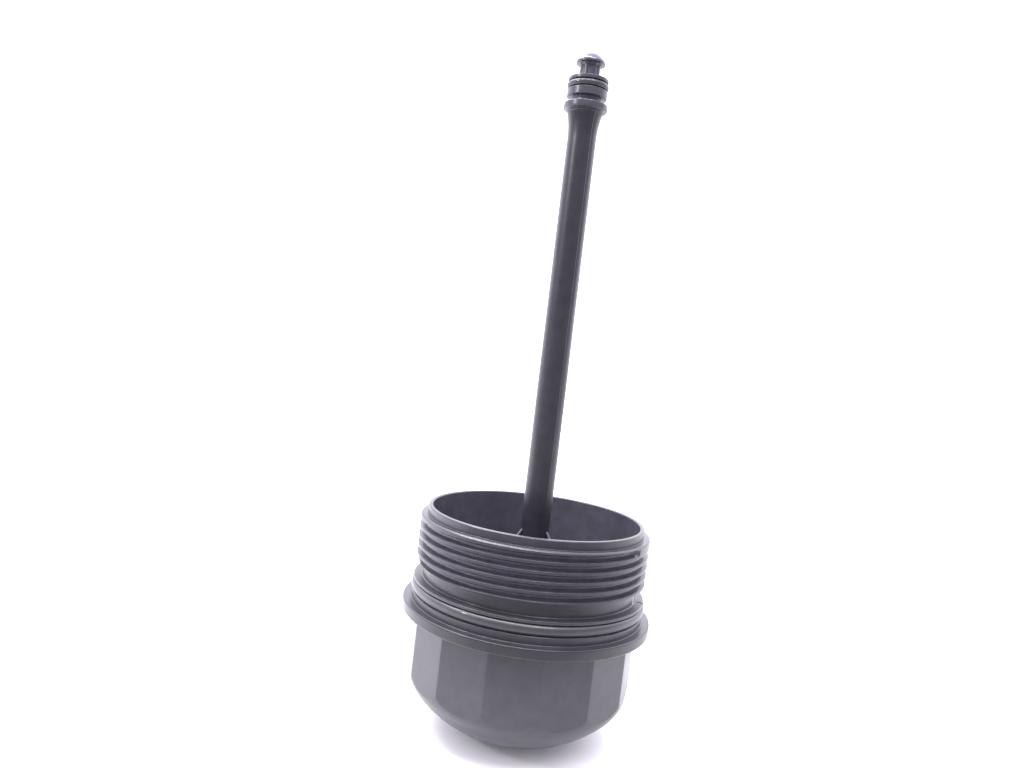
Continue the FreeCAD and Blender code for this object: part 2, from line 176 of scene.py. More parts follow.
# Its heights above the cup's foot
SPIGOT_LOW = 6.0
SOCKET_TOP = 14.0
SHOULDER_TOP = 17.0
FLARE_LOW = 202.0
COLLAR_LOW = 211.4
COLLAR_TOP = 213.55
LAND_B_LOW = 215.5
TIP_GROOVE_LOW = 218.1
LAND_A_LOW = 220.65
STALK_LOW = 221.85
STALK_BEND = 226.0
HEAD_LOW = 226.8
HEAD_HEIGHT = 3.6
TIP = 231.0
# Its roundings
SHOULDER_ROUND = 0.3
ROOT_ROUND_LOW = 0.5
FLARE_ROUND = 0.25
COLLAR_ROUND = 0.4
SPOOL_ROUND = 0.2
STALK_ROUND = 0.4
HEAD_ROUND_LOW = 0.12
HEAD_ROUND = 0.15
# Where the flare's curve ends, as (in from its edge, down from the collar), and the points along
# the curves of flare and head
FLARE_END = (0.09, 0.7)
FLARE_POINTS = 12
HEAD_POINTS = 9

# The witness line down two sides: the first one's azimuth, its height, its half width in degrees,
# and how far it stays from the shoulder and from the collar
WITNESS_AZIMUTH = 36.0
WITNESS_HEIGHT = 0.12
WITNESS_HALF = 1.5
WITNESS_LOW = 1.0
WITNESS_TOP = 0.1
# Columns of the rod's mesh in degrees from each line: the close ones, then the first of the even
# ones and how many there are up to the other line
LINE_COLUMNS = (-4.0, -2.4, -1.6, -0.8, 0.0, 0.8, 1.6, 2.4, 4.0)
EVEN_START = 7.5
EVEN_COLUMNS = 45

# The stalk's flutes: count, depth, how narrow they are, and what they take in: so far out of the
# stalk, from so far above its foot to so far above its bend
FLUTE_COUNT = 8
FLUTE_DEPTH = 0.4
FLUTE_POWER = 1.5
FLUTE_OUT = 0.2
FLUTE_LOW = 0.25
FLUTE_TOP = 0.3

# The fins at the rod's root: azimuths, radii, half thickness, how deep they stand in the shoulder,
# how far below the rim their slope meets the rod, the slope in degrees, and the bevel
FIN_AZIMUTHS = (60.0, 180.0, 300.0)
FIN_INNER = 3.6
FIN_OUTER = 9.5
FIN_HALF = 0.65
FIN_SUNK = 0.6
FIN_LEAVE = 5.5
FIN_SLOPE = 55.0
FIN_BEVEL = 0.18
BEVEL_STEPS = 3

# Each sealing ring's middle radius, thickness, height and columns, then the power that makes its
# section squarer than the round of power 2, and the points along the section
LARGE_RING = (38.05, 3.5, 48.175, 288)
SMALL_RING = (6.0, 2.0, 219.375, 96)
RING_POWER = 2.5
RING_POINTS = 48

# A rounding turns by at most so many degrees from point to point
ROUND_STEP = 18.0
# Points closer than this are welded, and edges shorter than this are taken out
WELD_DISTANCE = 1e-3
DISSOLVE_DISTANCE = 1e-4
# An edge that bends by more degrees than this is sharp; the weight of large faces in the normals
SHARP_ANGLE = 35.0
NORMAL_WEIGHT = 60

# Each material's dark and light colour, least and greatest roughness, and strength of the grain
CAP_PLASTIC = ((0.020, 0.0192, 0.0260), (0.027, 0.0258, 0.0345), 0.28, 0.36, 0.3)
ROD_PLASTIC = ((0.014, 0.0132, 0.0189), (0.0195, 0.0184, 0.0260), 0.28, 0.34, 0.2)
SEAL_RUBBER = ((0.018, 0.018, 0.022), (0.023, 0.023, 0.028), 0.40, 0.48, 0.05)
SEAL_COAT = 0.3
COAT_ROUGHNESS = 0.05
PLASTIC_IOR = 1.5
# Noise as (scale, detail, roughness), each with the part of its range that counts: the mottle of
# the colour, the unevenness of the sheen, the painted glint's edge, and the grain, which has no
# such part
MOTTLE, MOTTLE_SPAN = (260.0, 5.0, 0.6), (0.35, 0.65)
CLOUD, CLOUD_SPAN = (45.0, 3.0, 0.5), (0.3, 0.7)
RAGGED, RAGGED_SPAN = (900.0, 4.0, 0.7), (0.3, 0.7)
GRAIN = (1500.0, 3.0, 0.7)
# How far grain and mottle stand out of the surface, in metres
GRAIN_HEIGHT = 0.00004
MOTTLE_HEIGHT = 0.00008
# Painted light and shade, where a piece is painted paler or darker in place of light: from and to
# radius, from and to height, softness, and the share of its lightness that it gains
# The cup: painted light inside it, in the thread's groove, in the seal groove and on the dome's
# bottom by the floor, and painted shade on the flange's edge
CAP_PAINTED_LIGHT = (
    (0.0, 35.45, 17.0, 80.0, 0.2, 1.1),
    (36.3, 37.7, 56.4, 71.7, 0.5, 2.0),
    (36.0, 39.1, 46.1, 50.2, 0.15, 4.0),
    (41.7, 44.0, 39.0, 44.0, 0.3, -0.5),
    (0.0, 60.0, -5.0, 5.0, 8.0, 2.5),
)
# The rod: painted light on the tip and in the spool's two grooves, and a painted highlight on the
# head
ROD_PAINTED_LIGHT = (
    (0.0, 12.0, 211.2, 227.0, 0.3, 1.3),
    (0.0, 12.0, 227.6, 240.0, 0.3, 5.5),
    (0.0, 6.5, 213.6, 215.4, 0.1, 5.0),
    (0.0, 6.5, 218.2, 220.6, 0.1, 4.0),
)
# Where the rod is smoother, written in the same way
ROD_POLISH = ((0.0, 12.0, 227.6, 240.0, 0.3, -0.45),)
# A colour mix node's inputs for the share and both colours, and its output
MIX_SHARE, MIX_FIRST, MIX_SECOND, MIX_RESULT = 0, 6, 7, 2

# The surround's light along each axis: from, to, and the light at both
SURROUND = (
    ("Y", 0.05, 0.45, 0.6, 2.6),
    ("X", -0.95, -0.55, 0.8, 0.0),
    ("X", 0.55, 0.95, 0.0, 0.35),
    ("Z", 0.35, 0.7, 0.0, 2.1),
)
SURROUND_COLOUR = (0.97, 0.95, 1.06, 1.0)
# The floor's lightness along each axis, in metres and written in the same way: painted shade makes
# it darker in front and to the right. The shares of both axes are multiplied
FLOOR_SHADE_SHARES = (
    ("Y", -0.17, -0.06, 0.22, 0.82),
    ("X", -0.02, 0.1, 1.0, 0.75),
)
FLOOR_COLOUR = (0.84, 0.83, 0.85, 1.0)
FLOOR_DARK = (0.0, 0.0, 0.0, 1.0)
FLOOR_ROUGHNESS = 0.85
# The floor's own faint light keeps the shadow under the dome as pale as in the photograph
FLOOR_GLOW = 0.09
FLOOR_GLOW_COLOUR = (1.0, 0.97, 1.0, 1.0)
FLOOR_REACH = 6.0
# The lamps, each with its place, length, width and power: a strip overhead in front, a wide one
# behind, and a small one at the left for the sharp glints. All face one point above the foot
LAMPS = (
    ("strip", (-0.18, -0.31, 0.95), 1.6, 0.045, 18.0),
    ("back", (-0.3, 0.42, 0.98), 1.1, 0.5, 11.0),
    ("spot", (-0.806, -0.484, 0.57), 0.08, 0.08, 3.2),
)
LAMP_TARGET = (0.0, 0.0, 0.08)

# The camera's place, its turns to the side, upward and about its own line of sight in degrees, and
# its lens, picture width (both in millimetres) and nearest distance in metres
CAMERA_PLACE = (6.74, -272.0, 130.9)
CAMERA_YAW = -4.28
CAMERA_PITCH = -2.73
CAMERA_ROLL = 6.74
CAMERA_LENS = 28.125
CAMERA_WIDTH = 36.0
CAMERA_NEAR = 0.01


def rounded(corners):
    """A line through (radius, height) corners, where a third number rounds a corner off."""
    line = [Vector(corners[0][:2])]
    for index in range(1, len(corners) - 1):
        here = Vector(corners[index][:2])
        size = corners[index][2] if len(corners[index]) > 2 else 0.0
        if not size:
            line.append(here)
            continue
        back = (Vector(corners[index - 1][:2]) - here).normalized()
        ahead = (Vector(corners[index + 1][:2]) - here).normalized()
        opening = back.angle(ahead)
        reach = size / math.tan(opening / 2)
        centre = here + (back + ahead).normalized() * (size / math.sin(opening / 2))
        first = here + back * reach - centre
        last = here + ahead * reach - centre
        turn = first.angle_signed(last)
        count = max(2, math.ceil(abs(math.degrees(turn)) / ROUND_STEP))
        for part in range(count + 1):
            line.append(centre + Matrix.Rotation(-turn * part / count, 2) @ first)
    line.append(Vector(corners[-1][:2]))
    return [tuple(point) for point in line]


def arc(centre, radius, start, end, count):
    """Points along an arc, from one angle to another."""
    angles = np.linspace(start, end, count)
    return [(centre[0] + radius * math.cos(a), centre[1] + radius * math.sin(a)) for a in angles]


def linked(name, data):
    """A new object in the scene, with its mesh, lamp or camera."""
    thing = bpy.data.objects.new(name, data)
    bpy.context.scene.collection.objects.link(thing)
    return thing


def finished(shape, mesh):
    """An object with a worked mesh, which is smooth all over."""
    shape.to_mesh(mesh)
    shape.free()
    mesh.polygons.foreach_set("use_smooth", [True] * len(mesh.polygons))
    return linked(mesh.name, mesh)


def mesh_object(name, points, faces):
    """A mesh object from points in millimetres, with doubles welded and normals turned outward."""
    mesh = bpy.data.meshes.new(name)
    mesh.from_pydata([Vector(point) * MM for point in points], [], faces)
    shape = bmesh.new()
    shape.from_mesh(mesh)
    bmesh.ops.remove_doubles(shape, verts=shape.verts, dist=WELD_DISTANCE * MM)
    bmesh.ops.dissolve_degenerate(shape, edges=shape.edges, dist=DISSOLVE_DISTANCE * MM)
    bmesh.ops.recalc_face_normals(shape, faces=shape.faces)
    return finished(shape, mesh)


def soften(piece):
    """Smooth shading that keeps each flat face flat and each sharp edge sharp."""
    piece.data.set_sharp_from_angle(angle=math.radians(SHARP_ANGLE))
    weighted = piece.modifiers.new("even_normals", "WEIGHTED_NORMAL")
    weighted.keep_sharp = True
    weighted.weight = NORMAL_WEIGHT


def place(radius, azimuth, height):
    """The point at a radius, an azimuth in degrees and a height."""
    angle = math.radians(azimuth)
    return (radius * math.sin(angle), -radius * math.cos(angle), height)


def ring_faces(rows, columns):
    """Quads between neighbouring columns of a closed ring of columns."""
    faces = []
    for column in range(columns):
        after = (column + 1) % columns
        for row in range(rows - 1):
            a = column * rows + row
            b = after * rows + row
            faces.append((a, b, b + 1, a + 1))
    return faces


def lathe(name, outline, azimuths, reshape=None):
    """A turned form. reshape may move each (radius, height) at an azimuth."""
    points = []
    for azimuth in azimuths:
        for radius, height in outline:
            if reshape:
                radius, height = reshape(radius, height, azimuth)
            points.append(place(radius, azimuth, height))
    return mesh_object(name, points, ring_faces(len(outline), len(azimuths)))


def flat_radius(azimuth):
    """Radius of the drive at an azimuth: a flat, with its corners slightly softened."""
    pitch = 360.0 / FLAT_COUNT
    off = abs((azimuth + pitch / 2) % pitch - pitch / 2)
    sharp = FLAT_DISTANCE / math.cos(math.radians(off))
    corner = FLAT_DISTANCE / math.cos(math.radians(pitch / 2))
    near = (corner - sharp) / CORNER_WIDTH
    return sharp - CORNER_CUT * math.exp(-near * near)


def cap_azimuths():
    """Columns round the cap: even over each flat, close together at its corners."""
    pitch = 360.0 / FLAT_COUNT
    inner = np.linspace(-pitch / 2 + CORNER_NEAR, pitch / 2 - CORNER_NEAR, FLAT_COLUMNS)
    columns = []
    for flat in range(FLAT_COUNT):
        columns += [flat * pitch - pitch / 2] + [flat * pitch + part for part in inner]
    columns = [(azimuth - THREAD_START) % 360.0 for azimuth in columns] + [0.0]
    columns += [360.0 - START_RAMP * part / RAMP_COLUMNS for part in range(1, RAMP_COLUMNS + 1)]
    columns += [NICK_AZIMUTH - THREAD_START + NICK_HALF * part for part in (-1.0, 0.0, 1.0)]
    return sorted(columns)


def dome_centres():
    """Centres of the knuckle's and the dome's curves, each as (radius, height)."""
    knuckle_x = BARREL_RADIUS - KNUCKLE_RADIUS
    dome_x = knuckle_x - (DOME_RADIUS - KNUCKLE_RADIUS) * math.cos(KNUCKLE_TURN)
    dome_z = math.sqrt(DOME_RADIUS ** 2 - (FOOT_RADIUS - dome_x) ** 2)
    knuckle_z = dome_z - (DOME_RADIUS - KNUCKLE_RADIUS) * math.sin(KNUCKLE_TURN)
    return (knuckle_x, knuckle_z), (dome_x, dome_z)


def dome_line(azimuth):
    """Foot, dome and knuckle up to the flat, then the flat up to the flange."""
    knuckle, dome = dome_centres()
    side = flat_radius(azimuth)
    foot = -math.acos((FOOT_RADIUS - dome[0]) / DOME_RADIUS)
    crease = -math.acos((side - knuckle[0]) / KNUCKLE_RADIUS)
    height = knuckle[1] + KNUCKLE_RADIUS * math.sin(crease)
    line = [(0.0, 0.0), (FOOT_RADIUS - FOOT_INSET, 0.0)]
    line += arc(dome, DOME_RADIUS, foot, -KNUCKLE_TURN, DOME_POINTS)
    line += arc(knuckle, KNUCKLE_RADIUS, -KNUCKLE_TURN, crease - CREASE_SHORT, KNUCKLE_POINTS)[1:]
    line += [(side - inward, height + up) for inward, up in CREASE_POINTS]
    line += rounded([
        (side, height + CREASE_TOP),
        (side, FLANGE_LOW, FLANGE_FILLET),
        (FLANGE_RADIUS - FLANGE_HALFWAY, FLANGE_LOW),
    ])
    return line


def collar_line():
    """Flange, seal groove and smooth neck, up to the foot of the thread."""
    foot_radius = NECK_RADIUS + NECK_STEP
    return rounded([
        (FLANGE_RADIUS - FLANGE_HALFWAY, FLANGE_LOW),
        (FLANGE_RADIUS, FLANGE_LOW, FLANGE_ROUND_LOW),
        (FLANGE_RADIUS, FLANGE_TOP, FLANGE_ROUND_TOP),
        (LAND_RADIUS, FLANGE_TOP, LAND_ROUND_LOW),
        (LAND_RADIUS, GROOVE_LOW, LAND_ROUND_TOP),
        (GROOVE_FLOOR, GROOVE_LOW, GROOVE_ROUND),
        (GROOVE_FLOOR, GROOVE_TOP, GROOVE_ROUND),
        (LAND_RADIUS, GROOVE_TOP, WALL_ROUND),
        (LAND_RADIUS, NECK_LOW, WALL_ROUND),
        (foot_radius, NECK_LOW, NECK_ROUND),
        (foot_radius, NECK_LOW + NECK_STEP_LOW),
        (NECK_RADIUS, NECK_LOW + NECK_STEP_TOP),
        (NECK_RADIUS, NECK_LOW + NECK_LINE_TOP),
    ])


def nicked(line, azimuth):
    """The collar with its one small nick across the upper wall of the seal groove."""
    depth = NICK_DEPTH * max(0.0, 1.0 - abs(azimuth - NICK_AZIMUTH) / NICK_HALF)
    inner, low = NECK_RADIUS + NICK_OUT, NECK_LOW - NICK_DOWN
    return [
        (radius, height - depth if radius > inner and height > low else height)
        for radius, height in line
    ]


def groove_shape():
    """One groove of the thread across its run: radius, and height above its middle."""
    half_mouth = GROOVE_MOUTH / 2
    half_root = GROOVE_ROOT / 2
    root = THREAD_RADIUS - GROOVE_DEPTH
    return rounded([
        (THREAD_RADIUS, -half_mouth - CREST_WIDTH),
        (THREAD_RADIUS, -half_mouth, CREST_ROUND),
        (root, -half_root, ROOT_ROUND),
        (root, half_root, ROOT_ROUND),
        (THREAD_RADIUS, half_mouth, CREST_ROUND),
        (THREAD_RADIUS, half_mouth + CREST_WIDTH),
    ])[1:-1]


def thread_line(turned):
    """The thread at a column, from its foot up. The groove rises all the way round to its start."""
    fall = 1.0 - turned / 360.0
    start_share = START_SHARE + (1.0 - START_SHARE) * min(1.0, (360.0 - turned) / START_RAMP)
    highest = SHOULDER - CREST_CHAMFER - CREST_MARGIN
    shape = groove_shape()
    turns = math.ceil((THREAD_TOP - NECK_TOP) / PITCH) + 1
    line = []
    for turn in reversed(range(turns)):
        middle = THREAD_TOP - PITCH * (turn + fall)
        share = 1.0 if turn else start_share
        for radius, height in shape:
            cut = THREAD_RADIUS - (THREAD_RADIUS - radius) * share
            line.append((cut, min(middle + height, highest)))
    above = [point for point in line if point[1] >= NECK_TOP]
    below = len(line) - len(above)
    if below:
        under, over = line[below - 1], line[below]
        share = (NECK_TOP - under[1]) / (over[1] - under[1])
        crossing = under[0] + share * (over[0] - under[0])
    else:
        crossing = THREAD_RADIUS
    return [(crossing, NECK_TOP)] * below + above


def top_line():
    """Shoulder, lip, mouth, bore, floor and the rod's socket, down to the axis."""
    knuckle, dome = dome_centres()
    small = BORE_RADIUS - knuckle[0]
    large = DOME_RADIUS - KNUCKLE_RADIUS + small
    floor = -math.acos((SHOULDER_RADIUS - dome[0]) / large)
    line = rounded([
        (THREAD_RADIUS, SHOULDER - SHOULDER_FROM),
        (THREAD_RADIUS, SHOULDER - CREST_CHAMFER, CHAMFER_ROUND_LOW),
        (THREAD_RADIUS - CREST_CHAMFER, SHOULDER, CHAMFER_ROUND_TOP),
        (LIP_RADIUS, SHOULDER, LIP_ROUND_LOW),
        (LIP_RADIUS, RIM, LIP_ROUND_TOP),
        (MOUTH_RADIUS, RIM, MOUTH_ROUND),
        (MOUTH_RADIUS - MOUTH_DRAFT, RIM - MOUTH_DEPTH),
        (BORE_RADIUS, RIM - CONE_DEPTH),
        (BORE_RADIUS, knuckle[1]),
    ])[1:]
    line += arc(knuckle, small, 0.0, -KNUCKLE_TURN, INNER_KNUCKLE_POINTS)[1:]
    line += arc(dome, large, -KNUCKLE_TURN, floor, INNER_DOME_POINTS)[1:]
    line += [
        (SHOULDER_RADIUS, SOCKET_TOP),
        (HOLE_RADIUS, SOCKET_TOP),
        (HOLE_RADIUS, HOLE_LOW),
        (0.0, HOLE_LOW),
    ]
    return line


def build_cap():
    """The cup. Its columns start where the thread's groove starts, and go round by the right."""
    columns = cap_azimuths() + [360.0]
    collar = collar_line()[1:]
    top = top_line()
    points = []
    for turned in columns:
        azimuth = THREAD_START + turned
        wall = nicked(collar, azimuth)
        line = dome_line(azimuth) + wall + [(NECK_RADIUS, NECK_TOP)] + thread_line(turned) + top
        points += [place(radius, azimuth, height) for radius, height in line]
    rows = len(line)
    faces = []
    for column in range(len(columns) - 1):
        for row in range(rows - 1):
            a = column * rows + row
            b = a + rows
            faces.append((a, b, b + 1, a + 1))
    # The square start: the highest groove ends in a flat face, flush with the solid land beyond it
    shape = len(groove_shape())
    land = rows - len(top) - 1
    last = (len(columns) - 1) * rows + land
    end = list(range(last - shape + 1, last + 1))
    faces.remove((land, land + rows, land + rows + 1, land + 1))
    faces.append((land, land + rows, land + rows + 1, land + 1, end[-1], end[0]))
    faces.append(end)
    return mesh_object("cup", points, faces)


def build_rod():
    """The rod: a turned form with a fine witness line down each side."""
    flare_out = FLARE_OUT - ROD_TOP
    flare_high = COLLAR_LOW - FLARE_LOW
    curve = (flare_high ** 2 + flare_out ** 2) / (2 * flare_out)
    bend = math.asin(flare_high / curve)
    head_curve = (HEAD_RADIUS ** 2 + HEAD_HEIGHT ** 2) / (2 * HEAD_HEIGHT)
    head_turn = math.asin(HEAD_RADIUS / head_curve)
    groove_root = SPOOL_RADIUS - TIP_GROOVE_DEPTH
    outline = rounded([
        (0.0, SPIGOT_LOW),
        (SPIGOT_RADIUS - SPIGOT_CHAMFER, SPIGOT_LOW),
        (SPIGOT_RADIUS, SPIGOT_LOW + SPIGOT_CHAMFER),
        (SPIGOT_RADIUS, SOCKET_TOP),
        (SHOULDER_RADIUS, SOCKET_TOP, SHOULDER_ROUND),
        (SHOULDER_RADIUS, SHOULDER_TOP, SHOULDER_ROUND),
        (ROD_ROOT, SHOULDER_TOP, ROOT_ROUND_LOW),
        (ROD_ROOT, RIM),
    ])
    flare = (ROD_TOP + curve, FLARE_LOW)
    outline += arc(flare, curve, math.pi, math.pi - bend, FLARE_POINTS)[:-1]
    outline += rounded([
        (FLARE_OUT - FLARE_END[0], COLLAR_LOW - FLARE_END[1]),
        (FLARE_OUT, COLLAR_LOW, FLARE_ROUND),
        (COLLAR_RADIUS, COLLAR_LOW, COLLAR_ROUND),
        (COLLAR_RADIUS, COLLAR_TOP, COLLAR_ROUND),
        (EMPTY_ROOT, COLLAR_TOP, SPOOL_ROUND),
        (EMPTY_ROOT, LAND_B_LOW, SPOOL_ROUND),
        (SPOOL_RADIUS, LAND_B_LOW, SPOOL_ROUND),
        (SPOOL_RADIUS, TIP_GROOVE_LOW, SPOOL_ROUND),
        (groove_root, TIP_GROOVE_LOW, SPOOL_ROUND),
        (groove_root, LAND_A_LOW, SPOOL_ROUND),
        (SPOOL_RADIUS, LAND_A_LOW, SPOOL_ROUND),
        (SPOOL_RADIUS, STALK_LOW, SPOOL_ROUND),
        (STALK_RADIUS, STALK_LOW, SPOOL_ROUND),
        (STALK_RADIUS, STALK_BEND, STALK_ROUND),
        (STALK_TOP, HEAD_LOW, HEAD_ROUND_LOW),
        (HEAD_RADIUS, HEAD_LOW, HEAD_ROUND),
        (HEAD_RADIUS, TIP - HEAD_HEIGHT),
    ])
    head = (0.0, TIP - head_curve)
    upright = math.pi / 2
    outline += arc(head, head_curve, upright - head_turn, upright, HEAD_POINTS)[1:]
    even = np.linspace(EVEN_START, 180.0 - EVEN_START, EVEN_COLUMNS)
    azimuths = [
        (WITNESS_AZIMUTH + side + part) % 360.0
        for side in (0, 180) for part in (*LINE_COLUMNS, *even)
    ]

    def reshape(radius, height, azimuth):
        """Raises the witness line, and hollows the flutes of the stalk."""
        off = (azimuth - WITNESS_AZIMUTH + 90.0) % 180.0 - 90.0
        if SHOULDER_TOP + WITNESS_LOW < height < COLLAR_LOW - WITNESS_TOP:
            radius += WITNESS_HEIGHT * math.exp(-(off / WITNESS_HALF) ** 2)
        fluted = STALK_LOW + FLUTE_LOW < height < STALK_BEND + FLUTE_TOP
        if fluted and radius < STALK_RADIUS + FLUTE_OUT:
            wave = 0.5 + 0.5 * math.cos(math.radians(azimuth * FLUTE_COUNT))
            radius -= FLUTE_DEPTH * wave ** FLUTE_POWER
        return radius, height

    return lathe("rod", outline, sorted(azimuths), reshape)


def build_fins():
    """The three centring fins at the rod's root."""
    foot = SHOULDER_TOP - FIN_SUNK
    leave = RIM - FIN_LEAVE
    slope = math.tan(math.radians(FIN_SLOPE))
    outline = [
        (FIN_INNER, foot),
        (FIN_OUTER, foot),
        (FIN_OUTER, leave - (FIN_OUTER - ROD_ROOT) * slope),
        (FIN_INNER, leave + (ROD_ROOT - FIN_INNER) * slope),
    ]
    shape = bmesh.new()
    for azimuth in FIN_AZIMUTHS:
        side = Vector(place(FIN_HALF, azimuth + 90.0, 0.0))
        corners = [Vector(place(radius, azimuth, height)) for radius, height in outline]
        front = [shape.verts.new((corner + side) * MM) for corner in corners]
        back = [shape.verts.new((corner - side) * MM) for corner in corners]
        shape.faces.new(front)
        shape.faces.new(back[::-1])
        for index in range(len(outline)):
            after = (index + 1) % len(outline)
            shape.faces.new((front[after], front[index], back[index], back[after]))
    bmesh.ops.recalc_face_normals(shape, faces=shape.faces)
    bmesh.ops.bevel(
        shape, geom=shape.edges[:], offset=FIN_BEVEL * MM, segments=BEVEL_STEPS, affect="EDGES"
    )
    return finished(shape, bpy.data.meshes.new("fins"))


def build_ring(name, middle, section, height, columns):
    """A sealing ring, a little squarer than round, as it sets in its groove."""
    outline = []
    for index in range(RING_POINTS + 1):
        angle = 2 * math.pi * index / RING_POINTS
        across = abs(math.cos(angle)) ** RING_POWER
        along = abs(math.sin(angle)) ** RING_POWER
        size = section / 2 / (across + along) ** (1 / RING_POWER)
        outline.append((middle + size * math.cos(angle), height + size * math.sin(angle)))
    return lathe(name, outline, np.linspace(0.0, 360.0, columns, endpoint=False))


def new_material(name):
    """A new material, and its node tree without nodes."""
    material = bpy.data.materials.new(name)
    material.use_nodes = True
    material.node_tree.nodes.clear()
    return material, material.node_tree


def feed(tree, socket, value):
    """Links an output to an input, or sets the input to a value."""
    if isinstance(value, bpy.types.NodeSocket):
        tree.links.new(value, socket)
    else:
        socket.default_value = value


def add(tree, kind, **given):
    """A new node. Each word names one of its inputs, which is fed, or else one of its settings."""
    node = tree.nodes.new(kind)
    for word, value in given.items():
        name = word.replace("_", " ")
        sockets = [socket for socket in node.inputs if socket.name == name and socket.enabled]
        if sockets:
            feed(tree, sockets[0], value)
        else:
            setattr(node, word, value)
    return node


def calculated(tree, operation, *values, kind="ShaderNodeMath"):
    """A node of maths, with its inputs fed in order."""
    node = add(tree, kind, operation=operation)
    for socket, value in zip(node.inputs, values):
        feed(tree, socket, value)
    return node


def vectors(tree, operation, *values):
    """A node of vector maths, with its inputs fed in order."""
    return calculated(tree, operation, *values, kind="ShaderNodeVectorMath")


def remapped(tree, value, low, high, low_result=0.0, high_result=1.0, curve="LINEAR"):
    """A value carried from one range to another, and held at its ends."""
    return add(
        tree, "ShaderNodeMapRange", interpolation_type=curve, Value=value,
        From_Min=low, From_Max=high, To_Min=low_result, To_Max=high_result,
    ).outputs[0]


def mixed(tree, share, first, second):
    """A colour between two others."""
    node = add(tree, "ShaderNodeMix", data_type="RGBA")
    feed(tree, node.inputs[MIX_SHARE], share)
    feed(tree, node.inputs[MIX_FIRST], first)
    feed(tree, node.inputs[MIX_SECOND], second)
    return node.outputs[MIX_RESULT]


def noise(tree, where, scale, detail, roughness):
    """The strength of a noise at a place."""
    return add(
        tree, "ShaderNodeTexNoise", Vector=where, Scale=scale, Detail=detail, Roughness=roughness
    ).outputs["Fac"]


def band(tree, value, low, high, soft):
    """One between two limits in millimetres and zero outside them, with soft ends."""
    low, high, soft = low * MM, high * MM, soft * MM
    rise = remapped(tree, value, low - soft, low)
    fall = remapped(tree, value, high, high + soft, 1.0, 0.0)
    return calculated(tree, "MULTIPLY", rise, fall).outputs[0]


def toned(tree, where, shown, zones):
    """A colour or roughness, raised or lowered in zones of radius and height."""
    height = add(tree, "ShaderNodeSeparateXYZ", Vector=where).outputs["Z"]
    level = vectors(tree, "MULTIPLY", where, (1.0, 1.0, 0.0)).outputs[0]
    radius = vectors(tree, "LENGTH", level).outputs["Value"]
    lift = 1.0
    for low_radius, high_radius, low, high, soft, gain in zones:
        across = band(tree, radius, low_radius, high_radius, soft)
        along = band(tree, height, low, high, soft)
        zone = calculated(tree, "MULTIPLY", across, along).outputs[0]
        lift = calculated(tree, "MULTIPLY_ADD", zone, gain, lift).outputs[0]
    scaled = vectors(tree, "SCALE", shown)
    feed(tree, scaled.inputs["Scale"], lift)
    return scaled.outputs[0]


def with_painted_glint(tree, where, colour):
    """A colour with the one pale painted glint on the neck."""
    away = vectors(tree, "DISTANCE", where, Vector(place(*GLINT_SPOT)) * MM).outputs["Value"]
    wander = GLINT_SPOT_WANDER * MM
    reach = GLINT_SPOT_REACH * MM
    edge = remapped(tree, noise(tree, where, *RAGGED), *RAGGED_SPAN, -wander, wander)
    ragged = calculated(tree, "ADD", away, edge).outputs[0]
    share = remapped(tree, ragged, reach * GLINT_SPOT_CORE, reach, 1.0, 0.0)
    return mixed(tree, share, colour, GLINT_SPOT_COLOUR)


def moulded_plastic(name, look, coat=0.0, zones=(), polish=(), painted_glint=False):
    """Charcoal plastic with a faint mottle, a fine grain, an uneven sheen and any painted light."""
    dark, light, rough_low, rough_high, strength = look
    material, tree = new_material(name)
    where = add(tree, "ShaderNodeTexCoord").outputs["Object"]
    mottle = noise(tree, where, *MOTTLE)
    shown = mixed(tree, remapped(tree, mottle, *MOTTLE_SPAN), (*dark, 1.0), (*light, 1.0))
    sheen = remapped(tree, noise(tree, where, *CLOUD), *CLOUD_SPAN, rough_low, rough_high)
    fine = add(
        tree, "ShaderNodeBump", Height=noise(tree, where, *GRAIN), Strength=strength,
        Distance=GRAIN_HEIGHT,
    )
    broad = add(
        tree, "ShaderNodeBump", Height=mottle, Strength=strength, Distance=MOTTLE_HEIGHT,
        Normal=fine.outputs[0],
    )
    if zones:
        shown = toned(tree, where, shown, zones)
    if painted_glint:
        shown = with_painted_glint(tree, where, shown)
    if polish:
        sheen = toned(tree, where, sheen, polish)
    shader = add(
        tree, "ShaderNodeBsdfPrincipled", Base_Color=shown, Roughness=sheen,
        Normal=broad.outputs[0], IOR=PLASTIC_IOR, Coat_Weight=coat, Coat_Roughness=COAT_ROUGHNESS,
    )
    add(tree, "ShaderNodeOutputMaterial", Surface=shader.outputs[0])
    return material


def ramps(tree, where, rows):
    """One soft ramp for each row, which gives an axis, from and to, and the value at both."""
    split = add(tree, "ShaderNodeSeparateXYZ", Vector=where)
    return [
        remapped(tree, split.outputs[axis], *ends, curve="SMOOTHSTEP") for axis, *ends in rows
    ]


def floor_material():
    """A matt pale surface, with painted shade darker in front and to the right and a faint painted
    glow.
    """
    material, tree = new_material("pale_floor")
    where = add(tree, "ShaderNodeTexCoord").outputs["Object"]
    share = calculated(tree, "MULTIPLY", *ramps(tree, where, FLOOR_SHADE_SHARES)).outputs[0]
    shader = add(
        tree, "ShaderNodeBsdfPrincipled", Base_Color=mixed(tree, share, FLOOR_DARK, FLOOR_COLOUR),
        Roughness=FLOOR_ROUGHNESS, Emission_Color=FLOOR_GLOW_COLOUR, Emission_Strength=FLOOR_GLOW,
    )
    add(tree, "ShaderNodeOutputMaterial", Surface=shader.outputs[0])
    return material


def dress(piece, material, slot, *nodes):
    """Gives a piece its material, lets it ride on the only body, and hides what it stands for."""
    piece.data.materials.append(material)
    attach(piece, "root")
    if nodes:
        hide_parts(*nodes)


